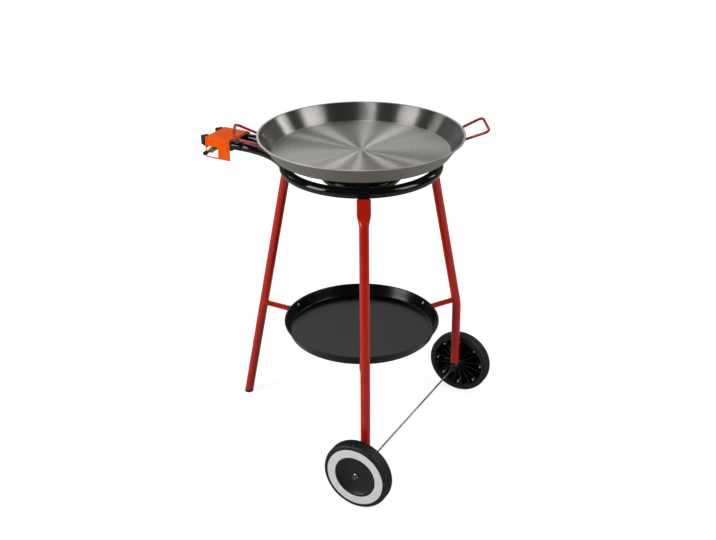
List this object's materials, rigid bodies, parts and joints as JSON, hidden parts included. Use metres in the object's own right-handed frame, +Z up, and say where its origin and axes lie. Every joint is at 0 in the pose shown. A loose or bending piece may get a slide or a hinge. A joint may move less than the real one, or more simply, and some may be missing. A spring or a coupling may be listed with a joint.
{
  "type": "paella burner",
  "caption": "Gas paella burner: a wide steel pan with wire handles on a tripod stand with ring burners, a control box with knobs, a utensil tray and transport wheels.",
  "frame": {"origin": "on the floor, under the middle of the bounding box", "axes": "+Z up, -Y towards the front leg and its wheel, -X towards the control box"},
  "size_m": [0.9233, 0.7831, 1.0168],
  "materials": {
    "polished_steel": "bright carbon steel, ground floor",
    "black_enamel": "glossy black enamel",
    "red_enamel": "satin red enamel",
    "orange_paint": "satin orange powder coat",
    "zinc_steel": "zinc plated",
    "brass": "turned brass",
    "black_plastic": "matt moulded black",
    "tyre_rubber": "dark grey solid rubber",
    "white_plastic": "off-white moulded"
  },
  "bodies": {
    "stand": {"outer_ring": "black_enamel", "inner_ring": "black_enamel", "outer_feed_tube": "black_enamel", "inner_feed_tube": "black_enamel", "front_support": "black_enamel", "right_support": "black_enamel", "left_support": "black_enamel", "burner_bracket": "black_enamel", "control_panel": "orange_paint", "panel_screws": "zinc_steel", "gas_rail": "zinc_steel", "hose_nipple": "brass", "outer_valve": "brass", "inner_valve": "brass", "outer_injector": "brass", "inner_injector": "brass", "front_leg": "red_enamel", "right_leg": "red_enamel", "left_leg": "red_enamel", "foot_cap": "black_plastic", "front_axle_block": "black_plastic", "right_axle_block": "black_plastic", "axle_rod": "zinc_steel", "axle_washers": "zinc_steel", "axle_caps": "zinc_steel", "tray": "black_enamel", "front_tray_arm": "red_enamel", "right_tray_arm": "red_enamel", "left_tray_arm": "red_enamel", "tray_bolts": "zinc_steel", "tray_nuts": "zinc_steel"},
    "pan": {"pan": "polished_steel", "left_handle": "red_enamel", "right_handle": "red_enamel", "handle_rivets": "zinc_steel"},
    "outer_tap": {"outer_knob": "black_plastic", "outer_valve_stem": "zinc_steel"},
    "inner_tap": {"inner_knob": "black_plastic", "inner_valve_stem": "zinc_steel"},
    "inlet_cap": {"nipple_cap": "black_plastic"},
    "front_wheel": {"front_tyre": "tyre_rubber", "front_wheel_hub": "black_plastic", "front_trim_ring": "white_plastic"},
    "right_wheel": {"right_tyre": "tyre_rubber", "right_wheel_hub": "black_plastic", "right_trim_ring": "white_plastic"}
  },
  "joints": [
    {"name": "front_wheel_spin", "type": "hinge", "parent": "stand", "child": "front_wheel", "pos_m": [0.0035, -0.32532, 0.103], "axis": [0.5, 0.866, 0], "continuous": true},
    {"name": "right_wheel_spin", "type": "hinge", "parent": "stand", "child": "right_wheel", "pos_m": [0.36577, 0.30215, 0.103], "axis": [0.5, 0.866, 0], "continuous": true},
    {"name": "outer_tap_turn", "type": "hinge", "parent": "stand", "child": "outer_tap", "pos_m": [-0.439, 0.30459, 0.901], "axis": [-0.866, 0.5, 0], "range_deg": [0, 210]},
    {"name": "inner_tap_turn", "type": "hinge", "parent": "stand", "child": "inner_tap", "pos_m": [-0.401, 0.37041, 0.901], "axis": [-0.866, 0.5, 0], "range_deg": [0, 210]},
    {"name": "pan_lift", "type": "slide", "parent": "stand", "child": "pan", "axis": [0, 0, 1], "range_m": [0, 0.15]},
    {"name": "inlet_cap_pull", "type": "slide", "parent": "stand", "child": "inlet_cap", "axis": [-0.5, -0.866, 0], "range_m": [0, 0.04]}
  ]
}
